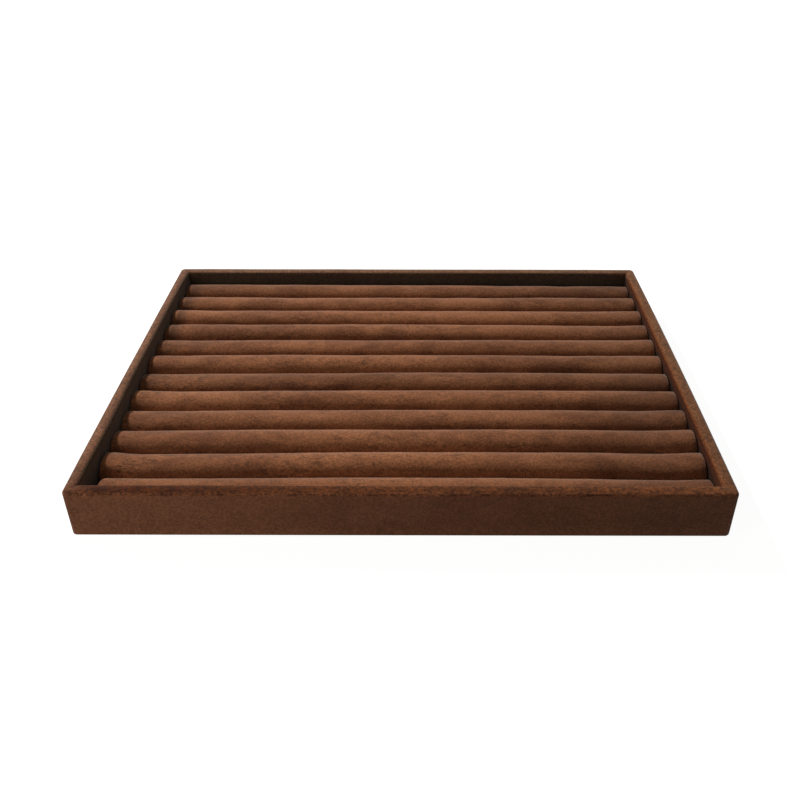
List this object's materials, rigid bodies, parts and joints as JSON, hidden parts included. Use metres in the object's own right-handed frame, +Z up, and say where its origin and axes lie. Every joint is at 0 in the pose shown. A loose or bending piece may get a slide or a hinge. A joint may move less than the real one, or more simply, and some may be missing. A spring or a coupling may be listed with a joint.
{
  "type": "jewelry tray",
  "caption": "Shallow rectangular suede-wrapped tray filled with a row of lift-out padded rolls that hold rings and earrings in the gaps between them.",
  "frame": {"origin": "middle of the underside, on the surface that the tray stands on", "axes": "+X along the long side and along the rolls, +Y towards the back, +Z up"},
  "size_m": [0.35, 0.24, 0.03],
  "materials": {
    "wrap_suede": "brown microfibre suede, short brushed nap",
    "roll_suede": "brown microfibre suede, short brushed nap",
    "lining_suede": "brown microfibre suede, flat",
    "base_paper": "dark brown flocked sheet",
    "board": "raw fibreboard",
    "card": "grey card",
    "foam": "open-cell foam, off-white",
    "brad": "satin"
  },
  "bodies": {
    "tray": {"floor_board": "board", "front_board": "board", "back_board": "board", "left_board": "board", "right_board": "board", "corner_brads": "brad", "floor_brads": "brad", "suede_wrap": "wrap_suede", "floor_card": "card", "floor_lining": "lining_suede", "base_sheet": "base_paper"},
    "roll_01": {"roll_core_01": "foam", "roll_cover_01": "roll_suede"},
    "roll_02": {"roll_core_02": "foam", "roll_cover_02": "roll_suede"},
    "roll_03": {"roll_core_03": "foam", "roll_cover_03": "roll_suede"},
    "roll_04": {"roll_core_04": "foam", "roll_cover_04": "roll_suede"},
    "roll_05": {"roll_core_05": "foam", "roll_cover_05": "roll_suede"},
    "roll_06": {"roll_core_06": "foam", "roll_cover_06": "roll_suede"},
    "roll_07": {"roll_core_07": "foam", "roll_cover_07": "roll_suede"},
    "roll_08": {"roll_core_08": "foam", "roll_cover_08": "roll_suede"},
    "roll_09": {"roll_core_09": "foam", "roll_cover_09": "roll_suede"},
    "roll_10": {"roll_core_10": "foam", "roll_cover_10": "roll_suede"},
    "roll_11": {"roll_core_11": "foam", "roll_cover_11": "roll_suede"},
    "roll_12": {"roll_core_12": "foam", "roll_cover_12": "roll_suede"}
  },
  "joints": [
    {"name": "roll_01_lift", "type": "slide", "parent": "tray", "child": "roll_01", "axis": [0, 0, 1], "range_m": [0, 0.045]},
    {"name": "roll_02_lift", "type": "slide", "parent": "tray", "child": "roll_02", "axis": [0, 0, 1], "range_m": [0, 0.045]},
    {"name": "roll_03_lift", "type": "slide", "parent": "tray", "child": "roll_03", "axis": [0, 0, 1], "range_m": [0, 0.045]},
    {"name": "roll_04_lift", "type": "slide", "parent": "tray", "child": "roll_04", "axis": [0, 0, 1], "range_m": [0, 0.045]},
    {"name": "roll_05_lift", "type": "slide", "parent": "tray", "child": "roll_05", "axis": [0, 0, 1], "range_m": [0, 0.045]},
    {"name": "roll_06_lift", "type": "slide", "parent": "tray", "child": "roll_06", "axis": [0, 0, 1], "range_m": [0, 0.045]},
    {"name": "roll_07_lift", "type": "slide", "parent": "tray", "child": "roll_07", "axis": [0, 0, 1], "range_m": [0, 0.045]},
    {"name": "roll_08_lift", "type": "slide", "parent": "tray", "child": "roll_08", "axis": [0, 0, 1], "range_m": [0, 0.045]},
    {"name": "roll_09_lift", "type": "slide", "parent": "tray", "child": "roll_09", "axis": [0, 0, 1], "range_m": [0, 0.045]},
    {"name": "roll_10_lift", "type": "slide", "parent": "tray", "child": "roll_10", "axis": [0, 0, 1], "range_m": [0, 0.045]},
    {"name": "roll_11_lift", "type": "slide", "parent": "tray", "child": "roll_11", "axis": [0, 0, 1], "range_m": [0, 0.045]},
    {"name": "roll_12_lift", "type": "slide", "parent": "tray", "child": "roll_12", "axis": [0, 0, 1], "range_m": [0, 0.045]}
  ]
}
